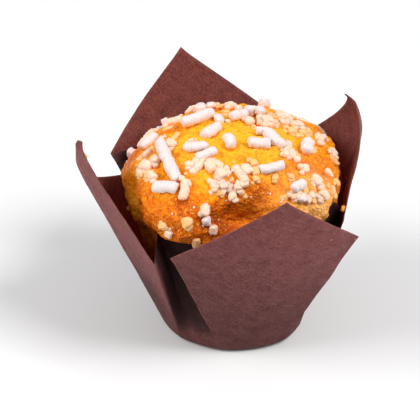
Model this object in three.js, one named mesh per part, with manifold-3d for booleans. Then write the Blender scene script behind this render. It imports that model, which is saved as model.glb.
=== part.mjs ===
// A muffin in a folded paper case, with sugar nibs baked into its crown.
// Millimetres, +Z up. The origin is the middle of the case's underside.
// Azimuths are in degrees round +Z, from -Y towards +X.

import * as THREE from 'three';
import { mergeVertices } from 'three/addons/utils/BufferGeometryUtils.js';
import Module from 'manifold-3d';

const wasm = await Module();
wasm.setup();

// The paper: one square sheet pressed into a cup, off centre by a few millimetres

const SHEET_SIDE = 118;
const PAPER = 0.4;
const FOOT_RADIUS = 18.4;
const FOOT_ROUNDING = 2.3;
const FOOT_SWELL = { azimuth: 55, width: 30, height: 0.8 };

// Each side of the flat sheet: the azimuth it faces and its distance from the cup's middle
const SIDES = [
  { faces: -27, distance: 56 },
  { faces: 63, distance: 58.5 },
  { faces: 153, distance: SHEET_SIDE - 56 },
  { faces: 243, distance: SHEET_SIDE - 58.5 },
];

// The sheet's creases and corners in order round the cup. Each runs straight up the wall.
// flat: azimuth on the flat sheet. folded: azimuth of its upper end once pressed.
// radius: of the upper end. lift: the upper end against its measured length.
// bow: how far the free edge from here to the next one swells outwards.
const RIBS = [
  { kind: 'outer fold', flat: -46, folded: -31.5, radius: 37, lift: -1, bow: 0 },
  { kind: 'inner fold', flat: -32.8, folded: -44, radius: 26.2, lift: 0, bow: 0 },
  { kind: 'inner fold', flat: -18.5, folded: -12, radius: 27, lift: -2.5, bow: 0 },
  { kind: 'outer fold', flat: -6.4, folded: -24.8, radius: 37, lift: 1.6, bow: 1 },
  { kind: 'corner', flat: 19.3, folded: 17, radius: 43, lift: 0, bow: 1, curl: 0 },
  { kind: 'outer fold', flat: 43.6, folded: 56.4, radius: 38.7, lift: -1, bow: 0 },
  { kind: 'inner fold', flat: 54, folded: 56, radius: 28.6, lift: 3, bow: 0 },
  { kind: 'inner fold', flat: 66, folded: 77, radius: 30.2, lift: -1, bow: 0 },
  { kind: 'outer fold', flat: 81.1, folded: 58, radius: 34.8, lift: -1, bow: 0.3 },
  { kind: 'corner', flat: 109.2, folded: 105, radius: 39.5, lift: 0.6, bow: 0.3, curl: 7.5 },
  { kind: 'outer fold', flat: 131.7, folded: 148, radius: 33.5, lift: -5, bow: 0 },
  { kind: 'inner fold', flat: 141.1, folded: 136, radius: 28, lift: 0, bow: 0 },
  { kind: 'inner fold', flat: 157.3, folded: 168, radius: 32, lift: 0, bow: 0 },
  { kind: 'outer fold', flat: 167.4, folded: 152, radius: 38, lift: 0, bow: 1 },
  { kind: 'corner', flat: 196.8, folded: 200.6, radius: 39.5, lift: 0, bow: 1, curl: 0.5 },
  { kind: 'outer fold', flat: 223.1, folded: 243, radius: 37, lift: 1, bow: 0 },
  { kind: 'inner fold', flat: 233, folded: 227, radius: 32.6, lift: 1.5, bow: 0 },
  { kind: 'inner fold', flat: 248, folded: 255, radius: 28.6, lift: -2, bow: 0 },
  { kind: 'outer fold', flat: 258, folded: 238, radius: 34.5, lift: -4.5, bow: 1.5 },
  { kind: 'corner', flat: 286.7, folded: 284, radius: 42, lift: 0, bow: 1, curl: 2.5 },
];
const CURL_FROM = 49;
const CURL_TO = 66;
const PETAL_COLUMNS = 5;
const PLEAT_COLUMNS = 2;
const WALL_ROWS = 5;
const MITRE_LIMIT = 1.6;

// The muffin: a tapered wall under an egg-shaped crown

const CROWN = { radius: 29, height: 16.5, middle: 42, startsAt: -26 };
const WALL = { underside: 0.75, flatRadius: 15.6, cornerHeight: 2.6, footRadius: 17.4, taper: 0.8 };
const CASE_CLEARANCE = 0.55;
const PLEATS_END = 50;
const MUFFIN_COLUMNS = 60;
const WALL_STEPS = 9;
const CROWN_STEPS = 19;
const ROW_SPACING = { wall: 3.8, crown: 2.8 };

// Lobes and hollows of the crown. climb: degrees up the crown from its widest line.
const LUMPS = [
  { name: 'front lobe', azimuth: -35, climb: 4, spread: 10, height: 1.5 },
  { name: 'right lobe', azimuth: 46, climb: 10, spread: 8, height: 1.1 },
  { name: 'front hollow', azimuth: 6, climb: 0, spread: 6.5, height: -3.2 },
  { name: 'left crevice', azimuth: -68, climb: -4, spread: 4.5, height: -2.6 },
  { name: 'left crevice end', azimuth: -52, climb: 14, spread: 4, height: -1.2 },
  { name: 'left lobe', azimuth: -92, climb: 8, spread: 8, height: 0.7 },
  { name: 'rear dent', azimuth: -122, climb: 34, spread: 10, height: -2.0 },
  { name: 'right shoulder', azimuth: 96, climb: 38, spread: 12, height: 1.6 },
];
const CRAGS = { count: 9, wavelength: 9, depth: 0.16 };

// Sugar nibs. The long ones lie as they do on the real crown, the rest fill in by rule.
// turn: degrees from level, anticlockwise seen from outside.
const LONG_NIBS = [
  { azimuth: -58, climb: 46, turn: -24, length: 12, thick: 2.7 },
  { azimuth: -128, climb: 67, turn: 143, length: 8.8, thick: 2.7 },
  { azimuth: -118, climb: 54, turn: 96, length: 4.4, thick: 2.4 },
  { azimuth: -61, climb: 78, turn: 107, length: 6.7, thick: 2.9 },
  { azimuth: -44, climb: 63, turn: 45, length: 5.8, thick: 2.4 },
  { azimuth: -27, climb: 60, turn: 50, length: 5.3, thick: 2.2 },
  { azimuth: -92, climb: 41, turn: 127, length: 4.8, thick: 2.7 },
  { azimuth: -75, climb: 39, turn: 105, length: 4.4, thick: 2.2 },
  { azimuth: -42, climb: 29, turn: 20, length: 6.2, thick: 2.4 },
  { azimuth: -30, climb: 32, turn: -90, length: 4.4, thick: 2.2 },
  { azimuth: 59, climb: 67, turn: -86, length: 7, thick: 2.9 },
  { azimuth: 32, climb: 48, turn: -1, length: 6.8, thick: 2.3 },
  { azimuth: 6, climb: 46, turn: -57, length: 5, thick: 2.2 },
  { azimuth: 155, climb: 59, turn: 173, length: 5.6, thick: 2.4 },
  { azimuth: 168, climb: 76, turn: 149, length: 5.7, thick: 2.4 },
  { azimuth: 113, climb: 47, turn: -90, length: 4.4, thick: 2.4 },
  { azimuth: 38, climb: 67, turn: -47, length: 4.7, thick: 2.7 },
];
const SHORT_NIBS = { count: 62, smallest: 2.0, largest: 2.9, spacing: 4.0, lowest: -8 };
const NIB_SUNK = 0.32;
const NIB_GAP = 0.35;
const SEED = 20;

const COLOURS = { cake: 0xd98a24, paper: 0x6f4a49 };

const radians = THREE.MathUtils.degToRad;

function seededRandom(seed) {
  let state = seed;
  return () => {
    state = (state + 0x6d2b79f5) | 0;
    let t = Math.imul(state ^ (state >>> 15), 1 | state);
    t = (t + Math.imul(t ^ (t >>> 7), 61 | t)) ^ t;
    return ((t ^ (t >>> 14)) >>> 0) / 2 ** 32;
  };
}

/** Point at an azimuth, a radius and a height. */
function polar(azimuth, radius, z = 0) {
  const a = radians(azimuth);
  return new THREE.Vector3(radius * Math.sin(a), -radius * Math.cos(a), z);
}

/** Moves a point away from the axis by a distance. */
function pushOut(point, distance) {
  const scale = 1 + distance / Math.hypot(point.x, point.y);
  return point.set(point.x * scale, point.y * scale, point.z);
}

// Folding the sheet

/** Distance on the flat sheet from the cup's middle to the free edge. */
function reach(flat) {
  const distances = SIDES.map((side) => {
    const across = Math.cos(radians(flat - side.faces));
    return across > 0.1 ? side.distance / across : Infinity;
  });
  return Math.min(...distances);
}

function footRadius(flat) {
  const away = THREE.MathUtils.euclideanModulo(flat - FOOT_SWELL.azimuth + 180, 360) - 180;
  return FOOT_RADIUS + FOOT_SWELL.height * Math.exp(-((away / FOOT_SWELL.width) ** 2));
}

function wallLength(flat) {
  return reach(flat) - FOOT_RADIUS;
}

/** Upper end of a rib: as high as its length up the wall lets it stand. */
function ribEnd(rib) {
  const end = polar(rib.folded, rib.radius);
  const across = end.distanceTo(polar(rib.flat, FOOT_RADIUS));
  const length = wallLength(rib.flat) + rib.lift;
  end.z = Math.sqrt(length ** 2 - across ** 2);
  return end;
}

/** Free edge at a flat azimuth between two neighbouring ribs. */
function freeEdge(flat, from, to) {
  const start = polar(from.flat, reach(from.flat));
  const share = start.distanceTo(polar(flat, reach(flat))) / start.distanceTo(polar(to.flat, reach(to.flat)));
  const point = ribEnd(from).lerp(ribEnd(to), share);
  return pushOut(point, from.bow * Math.sin(Math.PI * share));
}

/** The wall at a flat azimuth and a distance up it, without the rounded foot. */
function wallPoint(flat, up, from, to) {
  const foot = polar(flat, footRadius(flat));
  const point = foot.lerp(freeEdge(flat, from, to), up / wallLength(flat));
  const curl = (from.curl ?? 0) + (to.curl ?? 0);
  const curled = Math.max(0, up - CURL_FROM) / (CURL_TO - CURL_FROM);
  return pushOut(point, -curl * curled ** 2);
}

/** Middle of the paper at a flat azimuth and a distance up the wall. */
function sheetPoint(flat, up, from, to) {
  if (up >= FOOT_ROUNDING) return wallPoint(flat, up, from, to);
  const t = (up + FOOT_ROUNDING) / (2 * FOOT_ROUNDING);
  const onFloor = polar(flat, FOOT_RADIUS - FOOT_ROUNDING);
  const corner = polar(flat, footRadius(flat));
  const onWall = wallPoint(flat, FOOT_ROUNDING, from, to);
  return onFloor.multiplyScalar((1 - t) ** 2)
    .addScaledVector(corner, 2 * t * (1 - t))
    .addScaledVector(onWall, t ** 2);
}

/** Distances up the wall of the grid's rows at a flat azimuth. */
function rowHeights(flat) {
  const rows = [-FOOT_ROUNDING, 0];
  const top = wallLength(flat);
  for (let k = 0; k <= WALL_ROWS; k++) {
    rows.push(FOOT_ROUNDING + (top - FOOT_ROUNDING) * (k / WALL_ROWS));
  }
  return rows;
}

/** Grid of one panel between two ribs: the paper's middle and its outward normals. */
function panelGrid(from, to) {
  const span = to.flat - from.flat;
  const isPetal = from.kind === 'corner' || to.kind === 'corner';
  const columns = isPetal ? PETAL_COLUMNS : PLEAT_COLUMNS;
  const nudge = 0.02;
  const grid = [];
  for (let i = 0; i <= columns; i++) {
    const flat = from.flat + span * (i / columns);
    const inside = (a) => THREE.MathUtils.clamp(a, from.flat, to.flat);
    grid.push(rowHeights(flat).map((up, row) => {
      const middle = sheetPoint(flat, up, from, to);
      const along = sheetPoint(inside(flat + nudge), up, from, to)
        .sub(sheetPoint(inside(flat - nudge), up, from, to));
      const upwards = sheetPoint(flat, up + nudge, from, to)
        .sub(sheetPoint(flat, up - nudge, from, to));
      const normal = row === 0 ? new THREE.Vector3(0, 0, -1) : along.cross(upwards).normalize();
      return { middle, normal };
    }));
  }
  return grid;
}

/** Mitred normals where two panels meet, so that both end in the same face. */
function mitre(before, after) {
  const last = before[before.length - 1];
  const first = after[0];
  last.forEach((cell, row) => {
    const sum = cell.normal.clone().add(first[row].normal);
    const bisector = sum.clone().normalize();
    const stretch = Math.min(MITRE_LIMIT, 1 / Math.max(bisector.dot(cell.normal), 0.01));
    bisector.multiplyScalar(stretch);
    cell.normal.copy(bisector);
    first[row].normal.copy(bisector);
    first[row].middle.copy(cell.middle);
  });
}

/** Collects triangles and turns them into a manifold-3d solid, facing out. */
class SolidBuilder {
  constructor() {
    this.points = [];
    this.triangles = [];
  }

  point(p) {
    return this.points.push(p) - 1;
  }

  quad(a, b, c, d) {
    this.triangles.push([a, b, c], [a, c, d]);
  }

  build() {
    const coordinates = new Float32Array(this.points.flatMap((p) => [p.x, p.y, p.z]));
    const volume = this.triangles.reduce((sum, [a, b, c]) => {
      const normal = this.points[b].clone().cross(this.points[c]);
      return sum + this.points[a].dot(normal);
    }, 0);
    const facingOut = volume > 0 ? this.triangles : this.triangles.map(([a, b, c]) => [a, c, b]);
    const mesh = new wasm.Mesh({
      numProp: 3,
      vertProperties: coordinates,
      triVerts: new Uint32Array(facingOut.flat()),
    });
    return new wasm.Manifold(mesh);
  }
}

/** Closed solid of one panel, with the paper's thickness. */
function panelSolid(grid) {
  const solid = new SolidBuilder();
  const face = (side) => grid.map((column) => column.map(({ middle, normal }) => {
    const p = middle.clone().addScaledVector(normal, side * PAPER / 2);
    p.z += PAPER / 2;
    return solid.point(p);
  }));
  const outer = face(1);
  const inner = face(-1);
  const columns = grid.length - 1;
  const rows = grid[0].length - 1;
  for (let i = 0; i < columns; i++) {
    for (let j = 0; j < rows; j++) {
      solid.quad(outer[i][j], outer[i + 1][j], outer[i + 1][j + 1], outer[i][j + 1]);
      solid.quad(inner[i][j], inner[i][j + 1], inner[i + 1][j + 1], inner[i + 1][j]);
    }
    solid.quad(outer[i][rows], outer[i + 1][rows], inner[i + 1][rows], inner[i][rows]);
    solid.quad(outer[i + 1][0], outer[i][0], inner[i][0], inner[i + 1][0]);
  }
  for (let j = 0; j < rows; j++) {
    solid.quad(outer[0][j], outer[0][j + 1], inner[0][j + 1], inner[0][j]);
    solid.quad(outer[columns][j], inner[columns][j], inner[columns][j + 1], outer[columns][j + 1]);
  }
  return solid.build();
}

/** The cup's floor: a disc whose rim has the panels' own lowest points. */
function floorSolid(grids) {
  const solid = new SolidBuilder();
  const rim = grids.flatMap((grid) => grid.slice(0, -1).map((column) => column[0].middle));
  const ring = (z) => rim.map((p) => solid.point(new THREE.Vector3(p.x, p.y, p.z + z)));
  const below = ring(0);
  const above = ring(PAPER);
  const lowMiddle = solid.point(new THREE.Vector3(0, 0, 0));
  const highMiddle = solid.point(new THREE.Vector3(0, 0, PAPER));
  rim.forEach((_, i) => {
    const next = (i + 1) % rim.length;
    solid.quad(below[i], below[next], above[next], above[i]);
    solid.triangles.push([below[next], below[i], lowMiddle], [above[i], above[next], highMiddle]);
  });
  return solid.build();
}

/** The outer skin of a union, without the hair-thin pockets that twisted seams leave in it. */
function largestPiece(solid) {
  return solid.decompose().reduce((best, piece) => (piece.volume() > best.volume() ? piece : best));
}

function foldedCase() {
  const grids = RIBS.map((from, i) => {
    const wraps = i === RIBS.length - 1;
    const to = wraps ? { ...RIBS[0], flat: RIBS[0].flat + 360, folded: RIBS[0].folded + 360 } : RIBS[i + 1];
    return panelGrid(from, to);
  });
  grids.forEach((grid, i) => mitre(grid, grids[(i + 1) % grids.length]));
  const joined = wasm.Manifold.union([...grids.map(panelSolid), floorSolid(grids)]);
  return largestPiece(joined);
}

// Shaping the muffin

function crownPoint(azimuth, climb) {
  const a = radians(climb);
  return polar(azimuth, CROWN.radius * Math.cos(a), CROWN.middle + CROWN.height * Math.sin(a));
}

function crownNormal(point) {
  return new THREE.Vector3(
    point.x / CROWN.radius ** 2,
    point.y / CROWN.radius ** 2,
    (point.z - CROWN.middle) / CROWN.height ** 2,
  ).normalize();
}

/** Small even crags: waves in seeded directions, added up. */
function cragField(random) {
  const waves = Array.from({ length: CRAGS.count }, () => {
    const direction = new THREE.Vector3(random() - 0.5, random() - 0.5, random() - 0.5).normalize();
    const wavelength = CRAGS.wavelength * (0.5 + random());
    return { direction: direction.multiplyScalar(2 * Math.PI / wavelength), phase: random() * 2 * Math.PI };
  });
  return (p) => CRAGS.depth * waves.reduce((sum, w) => sum + Math.sin(w.direction.dot(p) + w.phase), 0);
}

function lumpHeight(point) {
  return LUMPS.reduce((sum, lump) => {
    const away = point.distanceTo(crownPoint(lump.azimuth, lump.climb));
    return sum + lump.height * Math.exp(-((away / lump.spread) ** 2));
  }, 0);
}

/** Profile of the muffin before its relief: [radius, height] rows from the underside up. */
function muffinProfile() {
  const start = radians(CROWN.startsAt);
  const rim = { radius: CROWN.radius * Math.cos(start), z: CROWN.middle + CROWN.height * Math.sin(start) };
  const rows = [[WALL.flatRadius, WALL.underside]];
  for (let k = 0; k < WALL_STEPS; k++) {
    const t = k / WALL_STEPS;
    const z = WALL.cornerHeight + (rim.z - WALL.cornerHeight) * t;
    rows.push([WALL.footRadius + (rim.radius - WALL.footRadius) * t ** WALL.taper, z]);
  }
  for (let k = 0; k < CROWN_STEPS; k++) {
    const climb = radians(CROWN.startsAt + (90 - CROWN.startsAt) * (k / CROWN_STEPS));
    rows.push([CROWN.radius * Math.cos(climb), CROWN.middle + CROWN.height * Math.sin(climb)]);
  }
  return rows;
}

/** Free radius inside the paper round a place on the muffin, as far off as the next row. */
function roomInside(caseMesh, azimuth, z, rowSpacing) {
  const beside = [-4, -2, 0, 2, 4];
  const above = [-1, -0.5, 0, 0.5, 1].map((share) => share * rowSpacing);
  const ray = new THREE.Raycaster();
  const distances = beside.flatMap((turn) => above.map((step) => {
    const height = Math.max(z + step, WALL.underside);
    ray.set(new THREE.Vector3(0, 0, height), polar(azimuth + turn, 1).normalize());
    const hit = ray.intersectObject(caseMesh)[0];
    return hit ? hit.distance : Infinity;
  }));
  return Math.min(...distances) - CASE_CLEARANCE;
}

function muffinBody(caseMesh, random) {
  const crag = cragField(random);
  const solid = new SolidBuilder();
  const rows = muffinProfile();
  const rings = rows.map(([radius, z], row) => Array.from({ length: MUFFIN_COLUMNS }, (_, i) => {
    const azimuth = 360 * i / MUFFIN_COLUMNS;
    const p = polar(azimuth, radius, z);
    if (row > 0) {
      const onCrown = THREE.MathUtils.smoothstep(z, CROWN.middle - CROWN.height, CROWN.middle - 4);
      p.addScaledVector(crownNormal(p), (lumpHeight(p) + crag(p)) * onCrown);
    }
    const rowSpacing = row > WALL_STEPS ? ROW_SPACING.crown : ROW_SPACING.wall;
    const room = p.z < PLEATS_END ? roomInside(caseMesh, azimuth, p.z, rowSpacing) : Infinity;
    const wide = Math.hypot(p.x, p.y);
    if (wide > room) pushOut(p, room - wide);
    return solid.point(p);
  }));
  const bottom = solid.point(new THREE.Vector3(0, 0, WALL.underside));
  const peak = new THREE.Vector3(0, 0, CROWN.middle + CROWN.height);
  const top = solid.point(peak.setZ(peak.z + lumpHeight(peak) + crag(peak)));
  for (let i = 0; i < MUFFIN_COLUMNS; i++) {
    const next = (i + 1) % MUFFIN_COLUMNS;
    for (let j = 0; j < rings.length - 1; j++) {
      solid.quad(rings[j][i], rings[j][next], rings[j + 1][next], rings[j + 1][i]);
    }
    const last = rings[rings.length - 1];
    solid.triangles.push([rings[0][next], rings[0][i], bottom], [last[i], last[next], top]);
  }
  return solid.build();
}

// Sugar nibs

/** A knobbly rod lying along X: rings of five corners, narrower at both ends. */
function longNib(length, thick, random) {
  const solid = new SolidBuilder();
  const corners = 5;
  const rings = [-0.5, -0.32, 0.3, 0.5].map((share, k) => {
    const width = (k === 0 || k === 3 ? 0.62 : 1) * thick / 2;
    const turn = random() * 0.5;
    return Array.from({ length: corners }, (_, i) => {
      const a = turn + 2 * Math.PI * i / corners;
      const r = width * (0.92 + 0.24 * random());
      return solid.point(new THREE.Vector3(share * length, r * Math.cos(a), r * Math.sin(a)));
    });
  });
  for (let k = 0; k < 3; k++) {
    for (let i = 0; i < corners; i++) {
      const next = (i + 1) % corners;
      solid.quad(rings[k][i], rings[k][next], rings[k + 1][next], rings[k + 1][i]);
    }
  }
  for (let i = 1; i < corners - 1; i++) {
    solid.triangles.push([rings[0][0], rings[0][i + 1], rings[0][i]]);
    solid.triangles.push([rings[3][0], rings[3][i], rings[3][i + 1]]);
  }
  return solid.build();
}

/** A rounded chip: a twenty-sided ball with its corners shifted. */
function shortNib(size, random) {
  const ball = new THREE.IcosahedronGeometry(size / 2, 0);
  ball.deleteAttribute('normal');
  ball.deleteAttribute('uv');
  const merged = mergeVertices(ball, 1e-3);
  const solid = new SolidBuilder();
  const position = merged.attributes.position;
  const stretch = new THREE.Vector3(1 + 0.35 * random(), 1, 0.85);
  for (let i = 0; i < position.count; i++) {
    const p = new THREE.Vector3().fromBufferAttribute(position, i);
    solid.point(p.multiply(stretch).multiplyScalar(0.9 + 0.3 * random()));
  }
  const index = merged.index.array;
  for (let i = 0; i < index.length; i += 3) {
    solid.triangles.push([index[i], index[i + 1], index[i + 2]]);
  }
  return solid.build();
}

/** Places a nib on the cake's skin, its X axis turned from level. */
function placeOnCrown(nib, cakeMesh, azimuth, climb, turn, thick) {
  const guess = crownPoint(azimuth, climb);
  const normal = crownNormal(guess);
  const ray = new THREE.Raycaster(guess.clone().addScaledVector(normal, 10), normal.clone().negate());
  const skin = ray.intersectObject(cakeMesh)[0].point;
  const centre = skin.addScaledVector(normal, thick * (0.5 - NIB_SUNK));
  const level = polar(azimuth + 90, 1).normalize();
  const uphill = normal.clone().cross(level);
  const along = level.clone().multiplyScalar(Math.cos(radians(turn)))
    .addScaledVector(uphill, Math.sin(radians(turn)));
  const across = normal.clone().cross(along);
  const matrix = new THREE.Matrix4().makeBasis(along, across, normal).setPosition(centre);
  return nib.transform(matrix.elements);
}

/** Directions for the short nibs: seeded draws that keep their distance. */
function scatter(random) {
  const taken = LONG_NIBS.map((nib) => crownPoint(nib.azimuth, nib.climb));
  const places = [];
  for (let tries = 0; tries < 6000 && places.length < SHORT_NIBS.count; tries++) {
    const azimuth = 360 * random();
    const climb = SHORT_NIBS.lowest + (90 - SHORT_NIBS.lowest) * random() ** 0.8;
    const keep = Math.cos(radians(climb)) * (climb > 22 ? 1 : 0.35);
    const point = crownPoint(azimuth, climb);
    const isFree = taken.every((other) => other.distanceTo(point) > SHORT_NIBS.spacing);
    if (random() < keep && isFree) {
      taken.push(point);
      places.push({ azimuth, climb });
    }
  }
  return places;
}

function sugarNibs(cakeMesh, random) {
  const long = LONG_NIBS.map((nib) => {
    const shape = longNib(nib.length, nib.thick, random);
    return placeOnCrown(shape, cakeMesh, nib.azimuth, nib.climb, nib.turn, nib.thick);
  });
  const short = scatter(random).map(({ azimuth, climb }) => {
    const size = THREE.MathUtils.lerp(SHORT_NIBS.smallest, SHORT_NIBS.largest, random());
    return placeOnCrown(shortNib(size, random), cakeMesh, azimuth, climb, 360 * random(), size);
  });
  return [...long, ...short];
}

/** A three.js mesh of a manifold-3d solid. */
function toMesh(solid, name, material) {
  const { vertProperties, triVerts } = solid.getMesh();
  const geometry = new THREE.BufferGeometry();
  geometry.setAttribute('position', new THREE.BufferAttribute(vertProperties, 3));
  geometry.setIndex(new THREE.BufferAttribute(triVerts, 1));
  geometry.computeVertexNormals();
  const mesh = new THREE.Mesh(geometry, material);
  mesh.name = name;
  return mesh;
}

const cake = new THREE.MeshStandardMaterial({ color: COLOURS.cake, roughness: 0.6, side: THREE.DoubleSide });
const paper = new THREE.MeshStandardMaterial({ color: COLOURS.paper, roughness: 0.8, side: THREE.DoubleSide });

const random = seededRandom(SEED);
const caseSolid = foldedCase();
const caseMesh = toMesh(caseSolid, 'paper_case', paper);
const body = muffinBody(caseMesh, random);
const nibs = sugarNibs(toMesh(body, 'cake', cake), random)
  .filter((nib) => nib.minGap(caseSolid, NIB_GAP) >= NIB_GAP);
const muffinMesh = toMesh(wasm.Manifold.union([body, ...nibs]), 'muffin', cake);

const muffin = new THREE.Group();
muffin.name = 'muffin_in_paper_case';
muffin.add(muffinMesh, caseMesh);

export default muffin;
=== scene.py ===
"""A muffin in a folded paper case, with sugar nibs on its crown.

Shapes are worked out in millimetres and scaled to metres as each mesh is finished.
Azimuths are in degrees round +Z, from -Y towards +X.
"""

import math
import random

import bmesh
import bpy
from mathutils import Matrix, Vector, noise
from mathutils.bvhtree import BVHTree


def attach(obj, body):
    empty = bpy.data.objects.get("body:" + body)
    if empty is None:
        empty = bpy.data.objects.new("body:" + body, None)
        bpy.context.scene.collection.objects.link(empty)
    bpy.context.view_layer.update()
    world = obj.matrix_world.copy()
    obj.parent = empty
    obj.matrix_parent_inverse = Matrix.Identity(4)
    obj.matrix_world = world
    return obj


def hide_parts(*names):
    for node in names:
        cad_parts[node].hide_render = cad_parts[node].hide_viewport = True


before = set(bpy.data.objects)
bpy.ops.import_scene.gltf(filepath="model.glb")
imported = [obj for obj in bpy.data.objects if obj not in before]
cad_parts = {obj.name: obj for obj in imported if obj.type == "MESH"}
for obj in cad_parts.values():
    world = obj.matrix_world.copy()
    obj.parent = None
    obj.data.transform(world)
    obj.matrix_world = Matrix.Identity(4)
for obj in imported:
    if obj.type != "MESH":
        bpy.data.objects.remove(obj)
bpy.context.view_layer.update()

METRES = 0.001

# The photograph's view: the camera's place in millimetres, its tilt up from looking straight
# down, lens and film in millimetres, the picture's width in pixels and its scale at the cake
VIEW = {"place": (-5.6, -367.3, 236.6), "tilt": 61, "lens": 135, "film": 36, "pixels": 420}
PIXELS_PER_MM = 3.75

# The studio: floor, the room's own light, and lamps with their place in metres, size and power
FLOOR = {"size": 3, "roughness": 0.9, "colour": (0.80, 0.80, 0.80, 1)}
ROOM_LIGHT = 0.44
LIGHTS = [("key light", (1.2, -0.6, 1.5), 0.9, 31.0), ("left light", (-1.35, -0.45, 1.15), 0.9, 22.0)]
LIT_PLACE = (0, 0, 0.03)

# The paper: one square sheet pressed into a cup, off centre by a few millimetres

SHEET_SIDE = 118
PAPER = 0.2
FOOT_RADIUS = 18.4
FOOT_ROUNDING = 2.3
FOOT_SWELL = {"azimuth": 55, "width": 30, "height": 1.7}

# Each side of the flat sheet: the azimuth it faces and its distance from the cup's middle
SIDES = [(-27, 56), (63, 58.5), (153, SHEET_SIDE - 56), (243, SHEET_SIDE - 58.5)]

# The sheet's outer and inner folds and its corners in order: kind, azimuth on the flat sheet,
# azimuth and radius of the upper end once pressed, its lift, how far the free edge bows
# out and sags up to the next one, and how far a corner curls in
RIBS = [
    ("outer", -46, -31.5, 37, -1, 0, 0, 0),
    ("inner", -32.8, -44, 27, 1.6, 0, -0.8, 0),
    ("inner", -18.5, -12, 27, -2.5, 0, 0, 0),
    ("outer", -6.4, -24.8, 37, 1.6, 1, 0, 0),
    ("corner", 19.3, 17, 43, 0, 1, 0, 0),
    ("outer", 43.6, 56.4, 38.7, -1, 0, 0, 0),
    ("inner", 54, 55, 28.6, -1.2, 0, -3.6, 0),
    ("inner", 66, 67.5, 30.4, 1.4, 0, 0, 0),
    ("outer", 81.1, 59, 33.2, -0.4, -0.9, 0, 0),
    ("corner", 109.2, 105, 41.2, 2.0, 0.3, 0, 8.6),
    ("outer", 131.7, 148, 33.5, -5, 0, 0, 0),
    ("inner", 141.1, 136, 28, 0, 0, 0, 0),
    ("inner", 157.3, 168, 32, 0, 0, 0, 0),
    ("outer", 167.4, 152, 38, 0, 1, 0, 0),
    ("corner", 196.8, 200.6, 39.5, 0, 1, 0, 0.5),
    ("outer", 223.1, 243, 37, 1, 0, 0, 0),
    ("inner", 233, 227, 31.4, 1.5, 0, 0, 0),
    ("inner", 248, 255, 28.6, -2, 0, 0, 0),
    ("outer", 258, 238, 34.5, -4.5, 3.4, 5.5, 0),
    ("corner", 286.7, 284, 43.0, 2.0, -0.4, 0, 3.4),
]
FIRST_FLAT = RIBS[0][1]
# A side of the sheet counts where it is faced at least this squarely
LEAST_SQUARE = 0.1
CURL_FROM, CURL_TO = 49, 66
CREASE_WIDTH = 0.7
CORNER_SOFTNESS = 3.5
SOFTNESS_FADES = 1.4
SHARPEST_BEND = 0.05
# Where the sheet is looked at to round a bend, in half widths of it, and the weight of each
BEND_SAMPLES = ((-1, 1), (-0.5, 2), (0, 2), (0.5, 2), (1, 1))
PETAL_STEP = 1.05
PLEAT_STEP = 1.3
WALL_ROWS = 62

# Spots where painted shade darkens the paper more than elsewhere, and where a negative amount is
# painted light that makes it paler: azimuth and distance on the flat sheet, spread, amount
PAINTED_LIGHT_AND_SHADE_SPOTS = [
    (294, 32, 9, 0.3), (268, 60, 7, 0.32), (190, 60, 26, 0.17), (-5, 52, 12, 0.14), (90, 42, 16, -0.4),
]

# The paper's two faces: name, dark and light clouds, streaks, roughness and the streaks' turn
PAPERS = [
    ("outside of the paper", (0.106, 0.037, 0.036, 1), (0.222, 0.083, 0.079, 1),
     (0.30, 0.15, 0.145, 1), 0.72, 0.6),
    ("inside of the paper", (0.090, 0.032, 0.027, 1), (0.232, 0.080, 0.063, 1),
     (0.23, 0.095, 0.078, 1), 0.68, 2.2),
]
STREAKS = {"between": (0.5, 0.8), "share": 0.65, "smoother": 0.12}
# Colour towards which painted shade, with some grease, multiplies the paper
SHADE_AND_GREASE_TINT = (0.15, 0.16, 0.17, 1)
# How dark painted shade, with some grease, makes the foot of the wall and the heights up the wall
# between which it fades, how dark painted shade, with some grease, makes the pressed pleats and
# how that grows inwards from a fold, in degrees, and upwards from the foot
SHADE_AND_GREASE = {"wall": 0.42, "fades": (6, 42), "pleats": 0.95, "inwards": (-0.5, 3), "upwards": (-1, 11)}

# Corner tips that are turned over: flat azimuth of the corner, the way the flap points,
# how much of the corner is turned and by how many degrees
TIP_FLAPS = [(109.2, 113, 3.0, 18), (286.7, 316, 1.3, 100)]
FLAP_LIFT = 0.6 * PAPER

# Waves left in the paper by handling: height in millimetres, waves to a millimetre, shift
PAPER_WAVES = [(0.35, 0.07, (0, 0, 0)), (0.12, 0.19, (7, 3, 1)), (0.05, 0.6, (0, 0, 0))]
# Millimetres up the wall between which waves and folds set in
HANDLED = (3, 22)
# Soft folds left in the petals by handling: flat azimuth and distance of one point,
# direction in degrees, half length, width and height
HANDLING_FOLDS = [
    (190, 52, 60, 16, 2.2, 0.28), (204, 47, 35, 13, 2.0, -0.25), (183, 60, 95, 12, 1.8, 0.2),
    (20, 46, 8, 18, 2.4, 0.16), (8, 56, 50, 10, 1.8, -0.14), (108, 60, 108, 16, 1.6, 0.3),
    (101, 54, 100, 14, 1.4, -0.2), (115, 56, 112, 14, 1.5, 0.22), (285, 52, 290, 18, 1.8, 0.2),
]

# The muffin: a tapered wall under an egg-shaped crown

CROWN = {"radius": 29, "height": 16.5, "middle": 42, "starts_at": -26}
WALL = {"underside": 0.75, "flat_radius": 15.6, "corner": 2.6, "foot_radius": 17.4, "taper": 0.8}
# Heights above the wall's foot between which the rim's undercut sets in, how far below its
# widest line the crown has its whole relief, and the radius from which the case is near
UNDERCUT_FROM = (4, 12)
FULL_RELIEF = 4
CASE_NEAR = 12
CASE_CLEARANCE = 0.45
# Degrees round and millimetres up and down between which the paper is felt for
FEEL_ROUND = (-2, 0, 2)
FEEL_UP = (-1, 0, 1)
PLEATS_END = 50
FACETS = 7

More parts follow.
